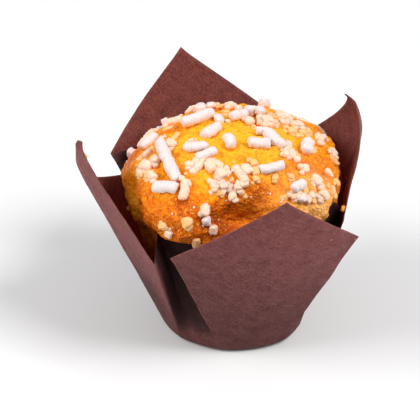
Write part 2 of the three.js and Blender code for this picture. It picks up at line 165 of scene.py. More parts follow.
# Lobes and hollows of the crown: azimuth, climb up the crown, spread and height
LUMPS = [
    (-34, 3, 9, 3.0), (-50, 22, 4.5, 1.2), (-27, 22, 4, 0.8), (47, 2, 8, 1.5), (14, 35, 5, 0.9),
    (10, 15, 8, -5.4), (-1, 7, 7, -3.2), (8, 29, 4.5, 1.1), (-93, -9, 4.5, -2.4), (-68, 10, 3.5, -3.2),
    (-57, -3, 3.5, -3.2), (-42, -14, 5, -1.6), (-45, 34, 4, -0.9), (-92, 14, 7, 1.0), (-106, 24, 7, -1.0),
    (88, -16, 8, -2.4), (-122, 34, 10, -2.0), (96, 38, 12, 1.6),
]
# The crown's rim on the left, which stands out over the wall below it
RIM = {"azimuth": -66, "width": 36, "depth": 0.35, "height": 35.4, "from": -20, "rise": 0.135}

# Relief of the crust: heights in millimetres, waves to a millimetre and, for noises, a shift
CRAGS = {"height": 0.9, "pitch": 0.12, "smoothness": 1.0, "finer": 2.1, "octaves": 2}
BILLOWS = {"height": 1.7, "pitch": 0.2, "shift": (3, 6, 2), "top": 0.25}
CRUMB_WAVES = [(0.36, 0.5, (0, 0, 0)), (0.22, 1.1, (9, 2, 5))]
# Where the crumb shows through, low on the crown's right: azimuth, climb and spread, and how
# much coarser it is there
BROKEN = (46, 6, 9)
COARSER_WHERE_BROKEN = 0.9

# How dark the crust is baked at the rim, how much paler it is at the peak, the heights between
# which it changes, and a slow wandering
BAKED = {"rim": 0.59, "paler": 0.37, "heights": (31, 57), "wander": [(0.16, 0.13, (4, 8, 1))]}
# The crust's colours from the palest to the darkest
CRUST_COLOURS = [
    (0.0, (1.0, 0.46, 0.02, 1)),
    (0.25, (0.97, 0.335, 0.006, 1)),
    (0.5, (0.86, 0.215, 0.003, 1)),
    (0.75, (0.67, 0.13, 0.002, 1)),
    (1.0, (0.38, 0.06, 0.002, 1)),
]
CRUST = {
    "roughness": 0.4,
    "patchy": 0.46,
    "open crumb": (1.0, 0.54, 0.19, 1),
    # Painted highlights: the colour and share of pale glints mixed into the crust at the grain's speckles
    "painted_glint": (1.0, 0.62, 0.14, 1),
    "painted_glints": 0.5,
    "wetter": 0.2,
}
# Where the crust is darker or paler than its surroundings: azimuth, climb, spread, amount.
# Most are the crust's own browning; those at (-68, -20) and (-80, -10) are painted light on the
# wall in shade under the rim, and those at (1, 11) and (-1, 9) are painted shade in the front hollow.
BROWNING_AND_SHADE = [
    (-88, 20, 7, 0.4), (-86, 31, 4, 0.2), (-97, 56, 4, 0.35), (-54, 22, 3.5, 0.4), (-40, 14, 9, 0.19),
    (-28, 24, 4, 0.35), (-22, 15, 4.5, 0.34), (-50, -11, 7, 0.25), (-68, -20, 10, -0.3),
    (-80, -10, 8, -0.15), (15, 33, 3, 0.5), (11, 56, 2.5, 0.35), (12, 18, 6, 0.2), (1, 11, 8, 0.45),
    (-1, 9, 5, 0.4), (66, 27, 7, 0.35), (53, 43, 4, 0.3), (40, 34, 5, 0.15), (-170, 61, 4, 0.35),
    (123, 36, 6, 0.35), (5, 74, 13, -0.3), (-12, 39, 6, -0.2), (-45, 34, 5, -0.15), (45, 10, 9, -0.1),
    (150, 20, 14, 0.25), (-150, 20, 12, 0.25),
]

# Sugar nibs of the crown's front, read in the photograph, in pixels: one end across and
# down, the other end across and down, and the thickness. White ones lie on the crust, cream
# ones are partly sunk in it and honeyed ones almost covered.
NIBS = {
    "white": [
        (158.8, 140.5, 176.5, 179, 10.2), (141.5, 147, 155.5, 134.5, 9.5), (182.5, 123.2, 213.5, 112, 9.9),
        (202.4, 135.9, 220.3, 125.2, 9.7), (216.7, 115, 221.5, 123.5, 8), (202, 100.5, 200.4, 110.4, 9.7),
        (207, 101.5, 215.5, 102, 8.5), (231, 117.3, 245.5, 112.6, 9), (246, 111, 256, 110, 10),
        (255.8, 111.2, 265.2, 111, 9.5), (227.2, 135.2, 232.2, 146.2, 9.3), (183.5, 147.5, 207.5, 145.2, 9),
        (195.8, 157.8, 216.7, 150, 8), (255.5, 130.8, 269, 131, 7.5), (265.5, 130.8, 282.5, 146, 10),
        (248.5, 142, 270.5, 143.6, 10), (308.3, 139.3, 306.3, 152.3, 10.4),
        (154.1, 186.7, 176.5, 187.7, 10), (203, 222.5, 211, 220, 8), (259.7, 170.5, 283.6, 165, 8.7),
        (293, 189.6, 304.8, 182, 8.2), (247.5, 112.5, 254, 109.5, 9), (257, 113, 263.5, 110, 8),
        (300, 196.5, 305.5, 200.5, 7.5),
    ],
    "cream": [
        (168.5, 123, 182, 119.5, 8.7), (141, 166.3, 151.3, 166.3, 10.6), (166.5, 143, 175, 145.5, 8.5),
        (158.5, 139, 163.5, 138.6, 5), (189, 140.5, 194, 141, 5), (186.6, 113.5, 194.3, 105.8, 6),
        (225, 106.5, 234, 106.1, 8), (234.6, 108.9, 241.7, 108.9, 7), (225, 122.3, 229.8, 121.9, 5),
        (247.3, 117.6, 251.4, 124.7, 8), (263.5, 117.5, 271, 127, 9), (276, 110.1, 290.6, 116.2, 6),
        (282.7, 122, 292.4, 123.5, 7), (292, 124.4, 303, 126.2, 8), (288.5, 141.8, 286, 157.3, 7.5),
        (315.3, 135.8, 322.6, 141.7, 7), (320.5, 137, 326, 137.5, 6), (329.5, 149, 335, 156, 7.5),
        (186.3, 179.3, 182.5, 199.2, 8), (186, 165.5, 195, 164.5, 7.5), (190.8, 173.8, 203.2, 162.5, 7.5),
        (200.5, 210, 210, 210.6, 9), (209, 228.5, 217.5, 230, 8), (165.5, 231.5, 172, 235.5, 6.5),
        (206.3, 162, 223, 166.5, 7.8), (222.5, 168, 229.5, 171.5, 7), (214, 176.3, 223, 177, 9),
        (213.8, 181, 215.6, 190.3, 6.8), (220.3, 181, 226.2, 188.3, 7), (228, 196.3, 236.5, 196, 8),
        (234.5, 185.5, 242.8, 187.3, 8.5), (234.4, 166, 246.9, 183.2, 8), (243, 165.3, 250.2, 174, 7.7),
        (303.5, 164.5, 306.5, 173.5, 8), (325.2, 169, 330.8, 176.2, 6.5), (312.5, 177, 320, 184, 8.5),
        (301, 194, 302.5, 201.7, 7.5), (309.5, 192.5, 313, 199, 7), (319.2, 190.7, 327.3, 198.5, 8.5),
        (190, 111.5, 197, 107, 8.5), (196, 110, 203, 108.5, 7), (266, 118, 270, 126.5, 10),
        (276.5, 113.5, 281.5, 119, 7), (283.5, 121, 290.5, 125.5, 8), (293, 123, 301.5, 127.5, 8),
        (270, 121, 277, 125, 7), (317, 137, 323.5, 141.5, 7.5), (330, 150, 334.5, 157.5, 7),
        (141.5, 169.5, 148, 172.5, 7), (149, 175, 156, 178, 7.5), (152, 158.5, 159, 161.5, 7.5),
        (144, 157, 152, 151.5, 7), (207, 163, 213, 170.5, 8), (219, 170, 224, 178, 8),
        (213, 183, 219.5, 186.5, 7.5), (219, 189, 226, 193, 7), (224, 183.5, 230, 189, 6.5),
        (288, 149, 293, 158.5, 8), (296, 193, 301, 199.5, 8), (304.5, 197, 310, 202.5, 7),
        (290, 192, 296, 195.5, 6), (317, 194, 323, 200, 7),
    ],
    "honey": [
        (137.9, 162.8, 155.7, 147, 7.6), (151.5, 161, 160, 160.3, 7.5), (171.5, 140.8, 178.7, 132.7, 5),
        (164.4, 130.1, 175, 127.5, 5), (208, 107.5, 213, 107.3, 5), (220.5, 107, 226.5, 106.5, 6),
        (222.5, 114, 229.5, 113, 7), (251.5, 127.2, 256.5, 126.8, 5), (267, 116.4, 274, 116, 7),
        (274, 125.5, 280.5, 125, 6), (289, 131.6, 296, 131, 7), (300, 133, 306.5, 133, 6),
        (296, 136, 301, 136, 5), (309.5, 151.5, 315.5, 151.2, 6), (292.5, 151, 297.7, 160, 6.5),
        (328.6, 156.6, 336.6, 163.7, 5.5), (138, 175, 145, 174.7, 6.5), (146, 176, 155, 175.6, 8),
        (182, 224, 193, 220.5, 8.5), (159.5, 225.5, 166, 225, 6), (196.6, 237.6, 195.6, 247, 6.8),
        (215.5, 193.5, 224, 192.5, 5.5), (239, 192.8, 245, 192.4, 6), (250, 164.5, 257, 163.5, 7),
        (251.6, 172.5, 259, 171.5, 7.5), (252.5, 179, 258.5, 178.7, 6), (228.7, 180, 233.7, 180, 5),
        (271.5, 178, 278, 177.4, 6), (287, 176.5, 294.5, 177, 6), (286, 195.5, 293, 195.5, 6.5),
        (301.5, 191.5, 307.5, 190.5, 6), (330.5, 186, 331.8, 195.3, 7.5), (334, 179, 336, 185, 6),
        (310.5, 201, 316.5, 201, 6), (305, 129, 311, 134, 6), (283, 128, 289, 129, 6),
        (160, 150, 163, 145, 6), (231, 188, 236, 192, 6.5), (283.5, 196, 288, 200, 6),
    ],
}
# Their pale edges are lost against the crust, so nibs are larger than they measure
NIB_GROWTH = {"length": 1.06, "thickness": 1.18}
# A nib on a steep part of the crown is drawn out no more than this by the way it is seen
MOST_FORESHORTENED = 1.45
# A nib's least length as a share of its thickness
SHORTEST_NIB = 0.76
# Where a reading lies past the crown's edge: how many pixels below it are tried, and how
# squarely the skin has to face the camera there
SEARCH_DOWN = 12
LEAST_FACING = 0.06
SUNK = {"white": 0.16, "cream": 0.38, "honey": 0.52}
# Tint, shade, stain at the foot, roughness and how far light sinks in
SUGARS = {
    "white": ((0.785, 0.69, 0.675, 1), (0.70, 0.595, 0.58, 1), (0.90, 0.62, 0.42, 1), 0.62, 0.2),
    "cream": ((0.89, 0.655, 0.53, 1), (0.90, 0.56, 0.37, 1), (0.98, 0.43, 0.10, 1), 0.6, 0.38),
    "honey": ((0.94, 0.55, 0.28, 1), (0.94, 0.45, 0.13, 1), (0.98, 0.38, 0.03, 1), 0.55, 0.45),
}
# Heights on a nib, as shares of it, between which the crust's stain fades
STAINED_UP_TO = (0.34, 0.8)
# Lumps of smaller sugar stuck to each nib
STUCK = {"white": 0, "cream": 2, "honey": 2}
# Puffs of pressed sugar, as shares of the nib's thickness, and the ribs across a nib
PUFFS = {"cells": 2.0, "swell": 0.25, "edge": 0.4, "waves": 0.12, "pitch": 0.6}
RIBBING = {"every": 0.95, "wander": 0.8, "depth": 0.07, "calmer": 0.1}
# A nib longer than this many thicknesses is a rod, a shorter one a chip
ROD_FROM = 1.6
RING_EVERY = 0.24
# Draws for a nib's flatness, a rod's bend as a share of its length and the bluntness of its
# ends, a chip's squareness, and the place, size and length of the lumps stuck to a nib
FLATNESS = (0.85, 1.0)
ROD = {"bend": (-0.05, 0.05), "bluntness": (5, 8), "sides": 14, "fewest rings": 10}
CHIP = {"squareness": (0.45, 0.8), "ribs": 0.2}
LUMP = {"along": (-0.6, 0.6), "beside": (0.3, 0.55), "up": (-0.25, 0.05)}
LUMP |= {"size": (0.55, 0.8), "length": (1.0, 1.4)}
# Grains strewn among the nibs, in millimetres, and how far they stray in degrees
GRAINS = {"count": 130, "smallest": 0.3, "largest": 0.65, "sunk": 0.3, "strays": (6, 5)}
# Nibs of the crown's rear, drawn between two azimuths, sparse low down
REAR_NIBS = {"count": 70, "from": 118, "to": 252, "smallest": 1.8, "largest": 2.9, "spacing": 3.3}
REAR_KINDS = ("white", "cream", "cream", "honey")
REAR_LENGTHS = (1.1, 1.25, 1.4, 2.2)
REAR_CLIMB = {"lowest": -4, "below crest": 3, "sparse under": 18, "sparse share": 0.3}
MOST_TRIES = 5000

# Crumbs that fell on the paper: azimuth and distance on the flat sheet, side (1 outside,
# -1 inside), length, thickness and how dark they are baked
CRUMBS = [
    (289.4, 76.4, -1, 1.1, 0.7, 0.5), (292.2, 59.0, -1, 2.3, 0.9, 0.3), (85.0, 62.2, -1, 1.8, 1.3, 0.4),
    (84.0, 60.4, -1, 0.9, 0.6, 0.7), (33.5, 62.7, 1, 0.5, 0.3, 0.9), (42.3, 61.6, 1, 0.4, 0.3, 0.9),
    (101.0, 61.0, -1, 0.5, 0.4, 0.7), (176.0, 66.0, -1, 1.1, 0.8, 0.4), (222.0, 57.0, -1, 0.9, 0.7, 0.4),
    (262.0, 52.0, -1, 1.3, 0.9, 0.4),
]
# How far a crumb's middle stands off the paper, as a share of its thickness, and how much of
# it is open crumb
CRUMB_LIFT = 0.3
CRUMB_BROKEN = 0.8
# Dark specks in the crust: azimuth and climb, and what they share
SPECKS = [(52, 79), (5, 58), (150, 40), (-120, 44)]
SPECK = {"turn": 20, "length": 0.5, "thickness": 0.35, "sunk": 0.2}

SEED = 20
draw = random.Random(SEED)


def polar(azimuth, radius, z=0.0):
    """Point at an azimuth, a radius and a height."""
    a = math.radians(azimuth)
    return Vector((radius * math.sin(a), -radius * math.cos(a), z))


def azimuth_of(point):
    return math.degrees(math.atan2(point.x, -point.y))


def push_out(point, distance):
    """The point moved away from the axis by a distance."""
    scale = 1 + distance / max(math.hypot(point.x, point.y), 1e-6)
    return Vector((point.x * scale, point.y * scale, point.z))


def lying_at(place, along, normal):
    """Matrix at a place, its X along a direction and its Z along a normal."""
    return Matrix.Translation(place) @ Matrix((along, normal.cross(along), normal)).transposed().to_4x4()


def smoothstep(value, low, high):
    t = min(max((value - low) / (high - low), 0.0), 1.0)
    return t * t * (3 - 2 * t)


def bell(distance, width):
    return math.exp(-((distance / width) ** 2))


def waves(point, rows):
    """Sum of noises, each with its height, pitch and shift."""
    return sum(height * noise.noise(point * pitch + Vector(shift)) for height, pitch, shift in rows)


# Finishes: groups of nodes that several materials share


def add_node(tree, kind, values=None, **settings):
    made = tree.nodes.new(kind)
    for name, value in settings.items():
        setattr(made, name, value)
    for name, value in (values or {}).items():
        made.inputs[name].default_value = value
    return made


def new_group(name, inputs, outputs):
    """A node group with a vector, numbers and colours with their defaults, and named outputs."""
    group = bpy.data.node_groups.new(name, "ShaderNodeTree")
    group.interface.new_socket("Vector", in_out="INPUT", socket_type="NodeSocketVector")
    for label, default in inputs.items():
        kind = "NodeSocketColor" if isinstance(default, tuple) else "NodeSocketFloat"
        group.interface.new_socket(label, in_out="INPUT", socket_type=kind).default_value = default
    for label in outputs:
        kind = "NodeSocketColor" if label == "Color" else "NodeSocketFloat"
        group.interface.new_socket(label, in_out="OUTPUT", socket_type=kind)
    return group, group.nodes.new("NodeGroupInput"), group.nodes.new("NodeGroupOutput")


def noise_texture(tree, vector, scale, detail, roughness=0.5):
    """A noise texture read at a vector; its scale is a socket or a plain number."""
    made = add_node(tree, "ShaderNodeTexNoise", {"Detail": detail, "Roughness": roughness})
    tree.links.new(vector, made.inputs["Vector"])
    if hasattr(scale, "node"):
        tree.links.new(scale, made.inputs["Scale"])
    else:
        made.inputs["Scale"].default_value = scale
    return made.outputs["Fac"]


def mix_colours(tree, factor, first, second, blend="MIX"):
    """Links factor and both colours into a colour mix and returns its result."""
    mix = add_node(tree, "ShaderNodeMix", data_type="RGBA", blend_type=blend)
    for socket, value in zip((mix.inputs[0], mix.inputs[6], mix.inputs[7]), (factor, first, second)):
        if hasattr(value, "node"):
            tree.links.new(value, socket)
        else:
            socket.default_value = value
    return mix.outputs[2]


def math_node(tree, operation, first, second=None, third=None, clamp=False):
    """A maths node fed by sockets or plain numbers; returns its result."""
    made = add_node(tree, "ShaderNodeMath", operation=operation, use_clamp=clamp)
    for socket, value in zip(made.inputs, (first, second, third)):
        if value is None:
            continue
        if hasattr(value, "node"):
            tree.links.new(value, socket)
        else:
            socket.default_value = value
    return made.outputs[0]


def ramp_between(tree, value, low, high):
    """0 below low, 1 above high, smooth between."""
    made = add_node(tree, "ShaderNodeMapRange", {"From Min": low, "From Max": high})
    made.interpolation_type = "SMOOTHSTEP"
    tree.links.new(value, made.inputs["Value"])
    return made.outputs["Result"]


def mottling_group():
    """Soft irregular patches of two colours, with a finer grain inside them."""
    inputs = {"Patch Scale": 4.0, "Grain Scale": 40.0, "Grain Share": 0.3, "Contrast": 1.5,
              "Colour A": (0.5, 0.5, 0.5, 1), "Colour B": (0.6, 0.6, 0.6, 1)}
    group, start, end = new_group("Mottling", inputs, ("Color", "Mask"))
    given = start.outputs
    patches = noise_texture(group, given["Vector"], given["Patch Scale"], 5.0, 0.6)
    grain = noise_texture(group, given["Vector"], given["Grain Scale"], 3.0, 0.6)
    away = math_node(group, "SUBTRACT", grain, patches)
    both = math_node(group, "MULTIPLY_ADD", away, given["Grain Share"], patches)
    centred = math_node(group, "SUBTRACT", both, 0.5)
    mask = math_node(group, "MULTIPLY_ADD", centred, given["Contrast"], 0.5, clamp=True)
    colour = mix_colours(group, mask, given["Colour A"], given["Colour B"])
    group.links.new(colour, end.inputs["Color"])
    group.links.new(mask, end.inputs["Mask"])
    return group


def grain_group():
    """Fine grain for a bump: lumps, pits between them and a sharper speckle."""
    inputs = {"Size": 1000.0, "Pits": 0.5, "Speckle Size": 4000.0}
    group, start, end = new_group("Grain", inputs, ("Height", "Speckle"))
    given = start.outputs
    lumps = noise_texture(group, given["Vector"], given["Size"], 1.5)
    cells = add_node(group, "ShaderNodeTexVoronoi", feature="F1")
    group.links.new(given["Vector"], cells.inputs["Vector"])
    group.links.new(given["Size"], cells.inputs["Scale"])
    speckle = noise_texture(group, given["Vector"], given["Speckle Size"], 1.0)
    pits = math_node(group, "MULTIPLY", cells.outputs["Distance"], given["Pits"])
    group.links.new(math_node(group, "SUBTRACT", lumps, pits), end.inputs["Height"])
    group.links.new(ramp_between(group, speckle, 0.61, 0.70), end.inputs["Speckle"])
    return group


def fibre_group():
    """Paper's fibres: fine streaks along the sheet and a soft cloudiness, in millimetres."""
    inputs = {"Turn": 0.6, "Streak Stretch": 7.0}
    group, start, end = new_group("Paper fibre", inputs, ("Streaks", "Height"))
    turned = add_node(group, "ShaderNodeVectorRotate", rotation_type="Z_AXIS")
    group.links.new(start.outputs["Vector"], turned.inputs["Vector"])
    group.links.new(start.outputs["Turn"], turned.inputs["Angle"])
    stretch = add_node(group, "ShaderNodeCombineXYZ", {"X": 1.0, "Z": 1.0})
    squeezed = math_node(group, "DIVIDE", 1.0, start.outputs["Streak Stretch"])
    group.links.new(squeezed, stretch.inputs["Y"])
    scaled = add_node(group, "ShaderNodeVectorMath", operation="MULTIPLY")
    group.links.new(turned.outputs["Vector"], scaled.inputs[0])
    group.links.new(stretch.outputs["Vector"], scaled.inputs[1])
    streaks = noise_texture(group, scaled.outputs["Vector"], 1.1, 5.0, 0.7)
    fibres = noise_texture(group, start.outputs["Vector"], 3.5, 3.0, 0.7)
    group.links.new(streaks, end.inputs["Streaks"])
    group.links.new(math_node(group, "ADD", streaks, fibres), end.inputs["Height"])
    return group


MOTTLING = mottling_group()
GRAIN = grain_group()
FIBRE = fibre_group()


def new_material(name, roughness, **values):
    """A material with its Principled shader; values are set on its sockets by their names."""
    material = bpy.data.materials.new(name)
    material.use_nodes = True
    shader = material.node_tree.nodes["Principled BSDF"]
    shader.inputs["Roughness"].default_value = roughness
    for label, value in values.items():
        shader.inputs[label.replace("_", " ")].default_value = value
    return material, material.node_tree, shader


def use_group(tree, group, vector, **values):
    made = add_node(tree, "ShaderNodeGroup", node_tree=group)
    tree.links.new(vector, made.inputs["Vector"])
    for label, value in values.items():
        made.inputs[label.replace("_", " ")].default_value = value
    return made


def attribute(tree, name):
    return add_node(tree, "ShaderNodeAttribute", attribute_name=name).outputs["Fac"]


def dress(tree, shader, colour, rough, height, strength, distance):
    """Links colour, roughness and a bump of a height to the shader."""
    tree.links.new(colour, shader.inputs["Base Color"])
    tree.links.new(rough, shader.inputs["Roughness"])
    bump = add_node(tree, "ShaderNodeBump", {"Strength": strength, "Distance": distance})
    tree.links.new(height, bump.inputs["Height"])
    tree.links.new(bump.outputs["Normal"], shader.inputs["Normal"])


def sheet_millimetres(tree):
    """The place on the flat sheet, in millimetres."""
    places = add_node(tree, "ShaderNodeUVMap", uv_map="flat sheet")
    scaled = add_node(tree, "ShaderNodeVectorMath", operation="SCALE")
    scaled.inputs["Scale"].default_value = SHEET_SIDE
    tree.links.new(places.outputs["UV"], scaled.inputs[0])
    return scaled.outputs["Vector"]


def paper_finish(name, dark, light, streak, roughness, turn):
    """One face of the brown paper: cloudy, fibrous, faintly streaked, darkened by painted shade, with some
    grease, in the pleats, at the foot of the wall and at listed spots.
    """
    material, tree, shader = new_material(name, roughness, Specular_IOR_Level=0.07, Subsurface_Weight=0.45,
                                          Subsurface_Scale=0.001, Subsurface_Radius=(1.0, 0.5, 0.4))
    place = sheet_millimetres(tree)
    cloud = use_group(tree, MOTTLING, place, Patch_Scale=0.28, Grain_Scale=1.5, Grain_Share=0.6,
                      Contrast=3.6, Colour_A=dark, Colour_B=light)
    fibre = use_group(tree, FIBRE, place, Turn=turn, Streak_Stretch=5.0)
    amount = ramp_between(tree, fibre.outputs["Streaks"], *STREAKS["between"])
    faint = math_node(tree, "MULTIPLY", amount, STREAKS["share"])
    unshaded_paper = mix_colours(tree, faint, cloud.outputs["Color"], streak)
    # Painted shade, with some grease, darkens the paper in the pleats, at the foot of the wall and at
    # listed spots
    shading_and_grease = mix_colours(tree, attribute(tree, "shaded_and_greased"), (1, 1, 1, 1), SHADE_AND_GREASE_TINT)
    colour = mix_colours(tree, 1.0, unshaded_paper, shading_and_grease, blend="MULTIPLY")
    rough = math_node(tree, "MULTIPLY_ADD", amount, -STREAKS["smoother"], roughness)
    dress(tree, shader, colour, rough, fibre.outputs["Height"], 0.35, 0.00008)
    return material


def crust_finish():
    """Baked crust: yellow where it is palest, through orange to brown, with a moist fine crumb and painted
    glints.
    """
    material, tree, shader = new_material("baked crust", CRUST["roughness"], Specular_IOR_Level=0.11,
                                          Subsurface_Weight=0.3, Subsurface_Scale=0.002,
                                          Subsurface_Radius=(1.0, 0.4, 0.08))
    place = add_node(tree, "ShaderNodeTexCoord").outputs["Object"]
    patches = use_group(tree, MOTTLING, place, Patch_Scale=260.0, Grain_Scale=1000.0, Grain_Share=0.7,
                        Contrast=4.2)
    grain = use_group(tree, GRAIN, place, Size=1500.0, Pits=1.3, Speckle_Size=2100.0)
    # The level is the crust's browning, with painted shade and painted light at a few listed spots
    spread = math_node(tree, "SUBTRACT", patches.outputs["Mask"], 0.5)
    level = math_node(tree, "MULTIPLY_ADD", spread, CRUST["patchy"], attribute(tree, "baked_and_shaded"), clamp=True)
    ramp = add_node(tree, "ShaderNodeValToRGB")
    elements = ramp.color_ramp.elements
    elements[0].position, elements[0].color = CRUST_COLOURS[0]
    elements[1].position, elements[1].color = CRUST_COLOURS[-1]
    for position, colour in CRUST_COLOURS[1:-1]:
        elements.new(position).color = colour
    tree.links.new(level, ramp.inputs["Fac"])
    patchy = math_node(tree, "MULTIPLY_ADD", patches.outputs["Mask"], 0.6, 0.4)
    pale = math_node(tree, "MULTIPLY", attribute(tree, "broken"), patchy)
    crumbly = mix_colours(tree, pale, ramp.outputs["Color"], CRUST["open crumb"])
    # Painted highlights: pale glints mixed into the crust's colour at the speckles
    painted_sparkle = math_node(tree, "MULTIPLY", grain.outputs["Speckle"], CRUST["painted_glints"])
    with_painted_glints = mix_colours(tree, painted_sparkle, crumbly, CRUST["painted_glint"])
    wet = math_node(tree, "MULTIPLY_ADD", grain.outputs["Speckle"], -CRUST["wetter"], CRUST["roughness"])
    dress(tree, shader, with_painted_glints, wet, grain.outputs["Height"], 0.65, 0.0004)
    return material


def sugar_finish(name, tint, shade, stain, roughness, subsurface):
    """Pressed sugar: fine crystals, stained by the crust where it is sunk in it."""
    material, tree, shader = new_material(name, roughness, Specular_IOR_Level=0.4,
                                          Subsurface_Weight=subsurface, Subsurface_Scale=0.0007,
                                          Subsurface_Radius=(1.0, 0.85, 0.7))
    place = add_node(tree, "ShaderNodeTexCoord").outputs["Object"]
    cloud = use_group(tree, MOTTLING, place, Patch_Scale=420.0, Grain_Scale=2200.0, Grain_Share=0.4,
                      Contrast=2.0, Colour_A=shade, Colour_B=tint)
    grain = use_group(tree, GRAIN, place, Size=2600.0, Pits=0.5, Speckle_Size=5200.0)
    wander = math_node(tree, "MULTIPLY_ADD", cloud.outputs["Mask"], 0.25, attribute(tree, "height"))
    clean = ramp_between(tree, wander, *STAINED_UP_TO)
    colour = mix_colours(tree, clean, stain, cloud.outputs["Color"])
    rough = math_node(tree, "MULTIPLY_ADD", grain.outputs["Speckle"], -0.25, roughness)
    dress(tree, shader, colour, rough, grain.outputs["Height"], 0.35, 0.0002)
    return material


# Folding the sheet


def reach(flat):
    """Distance on the flat sheet from the cup's middle to the free edge."""
    nearest = math.inf
    for faces, distance in SIDES:
        across = math.cos(math.radians(flat - faces))
        if across > LEAST_SQUARE:
            nearest = min(nearest, distance / across)
    return nearest


def foot_radius(flat):
    away = (flat - FOOT_SWELL["azimuth"] + 180) % 360 - 180
    return FOOT_RADIUS + FOOT_SWELL["height"] * bell(away, FOOT_SWELL["width"])


def wall_length(flat):
    return reach(flat) - FOOT_RADIUS


def rib_end(rib):
    """Upper end of a rib: as high as its length up the wall lets it stand."""
    flat, pressed, radius, lift = rib[1:5]
    end = polar(pressed, radius)
    across = (end - polar(flat, FOOT_RADIUS)).length
    end.z = math.sqrt((wall_length(flat) + lift) ** 2 - across ** 2)
    return end


def wrapped(rib):
    return (rib[0], rib[1] + 360, rib[2] + 360) + rib[3:]


RIB_PAIRS = list(zip(RIBS, RIBS[1:] + [wrapped(RIBS[0])]))


def pair_round(flat):
    """The ribs either side of a flat azimuth, and that azimuth within the ribs' own turn."""
    flat = (flat - FIRST_FLAT) % 360 + FIRST_FLAT
    for start, end in RIB_PAIRS:
        if flat <= end[1]:
            return flat, start, end
    return flat, *RIB_PAIRS[-1]


def free_edge(flat, start, end):
    """Free edge at a flat azimuth between two neighbouring ribs."""
    here = polar(flat, reach(flat))
    first = polar(start[1], reach(start[1]))
    last = polar(end[1], reach(end[1]))
    share = (here - first).length / (last - first).length
    point = rib_end(start).lerp(rib_end(end), share)
    bow, sag = start[5:7]
    point.z -= sag * math.sin(math.pi * share)
    return push_out(point, bow * math.sin(math.pi * share))


def wall_point(flat, up):
    """The wall at a flat azimuth and a distance up it, without the rounded foot."""
    flat, start, end = pair_round(flat)
    foot = polar(flat, foot_radius(flat))
    point = foot.lerp(free_edge(flat, start, end), up / wall_length(flat))
    curled = max(0.0, up - CURL_FROM) / (CURL_TO - CURL_FROM)
    return push_out(point, -(start[7] + end[7]) * curled ** 2)


def softness(flat):
    """Half width, in degrees, over which the paper bends at a flat azimuth."""
    flat = (flat - FIRST_FLAT) % 360 + FIRST_FLAT
    widest = 0.0
    for rib in RIBS + [wrapped(RIBS[0])]:
        width = CORNER_SOFTNESS if rib[0] == "corner" else CREASE_WIDTH
        widest = max(widest, width - abs(flat - rib[1]) / SOFTNESS_FADES)
    return widest


def bent_wall(flat, up):
    """The wall with its creases rounded: an average over the width of the bend."""
    half = softness(flat)
    if half < SHARPEST_BEND:
        return wall_point(flat, up)
    total = Vector((0, 0, 0))
    for share, weight in BEND_SAMPLES:
        total += weight * wall_point(flat + share * half, up)
    return total / sum(weight for share, weight in BEND_SAMPLES)


def sheet_point(flat, up):
    """Middle of the paper at a flat azimuth and a distance up the wall."""
    if up >= FOOT_ROUNDING:
        return bent_wall(flat, up)
    t = (up + FOOT_ROUNDING) / (2 * FOOT_ROUNDING)
    on_floor = polar(flat, FOOT_RADIUS - FOOT_ROUNDING)
    corner = polar(flat, foot_radius(flat))
    on_wall = bent_wall(flat, FOOT_ROUNDING)
    return (1 - t) ** 2 * on_floor + 2 * t * (1 - t) * corner + t ** 2 * on_wall


def folded(spot):
    """Where a spot of the flat sheet comes to lie once the sheet is folded."""
    flat = azimuth_of(spot)
    up = spot.to_2d().length - FOOT_RADIUS
    if up <= -FOOT_ROUNDING:
        return Vector((spot.x, spot.y, 0))
    return sheet_point(flat, up)


def outward(spot):
    """The folded sheet's outward normal at a spot of the flat sheet."""
    step = 0.05
    round_way = polar(azimuth_of(spot) + 90, step)
    out_way = polar(azimuth_of(spot), step)
    along = folded(spot + round_way) - folded(spot - round_way)
    upwards = folded(spot + out_way) - folded(spot - out_way)
    return along.cross(upwards).normalized()


def column_azimuths():
    """Flat azimuths of the sheet's columns, close together at every crease."""
    columns = []
    for start, end in RIB_PAIRS:
        step = PETAL_STEP if "corner" in (start[0], end[0]) else PLEAT_STEP
        first = start[1] + (0 if start[0] == "corner" else CREASE_WIDTH)
        last = end[1] - (0 if end[0] == "corner" else CREASE_WIDTH)
        if start[0] != "corner":
            columns += [start[1], start[1] + CREASE_WIDTH / 2]
        count = max(3, round((last - first) / step))
        columns += [first + (last - first) * k / count for k in range(count)]
        if end[0] != "corner":
            columns += [last, end[1] - CREASE_WIDTH / 2]
    return columns


def flat_sheet():
    """The square sheet laid flat: a disc for the floor, then ring on ring out to the straight edges."""
    columns = column_azimuths()
    bm = bmesh.new()
    inner = FOOT_RADIUS - FOOT_ROUNDING
    bmesh.ops.create_circle(bm, cap_ends=True, cap_tris=True, segments=len(columns), radius=inner)
    ring = [v for v in bm.verts if v.co.length > inner / 2]
    edges = [e for e in bm.edges if all(v.co.length > inner / 2 for v in e.verts)]

    def lay(verts, share):
        def order(v):
            return (azimuth_of(v.co) - FIRST_FLAT + 0.01) % 360
        for v, azimuth in zip(sorted(verts, key=order), columns):
            v.co = polar(azimuth, inner + (reach(azimuth) - inner) * share)

    lay(ring, 0)
    for row in range(1, WALL_ROWS + 1):
        made = bmesh.ops.extrude_edge_only(bm, edges=edges)["geom"]
        ring = [item for item in made if isinstance(item, bmesh.types.BMVert)]
        edges = [e for e in made if isinstance(e, bmesh.types.BMEdge) and all(v in ring for v in e.verts)]
        lay(ring, row / WALL_ROWS)
    return bm


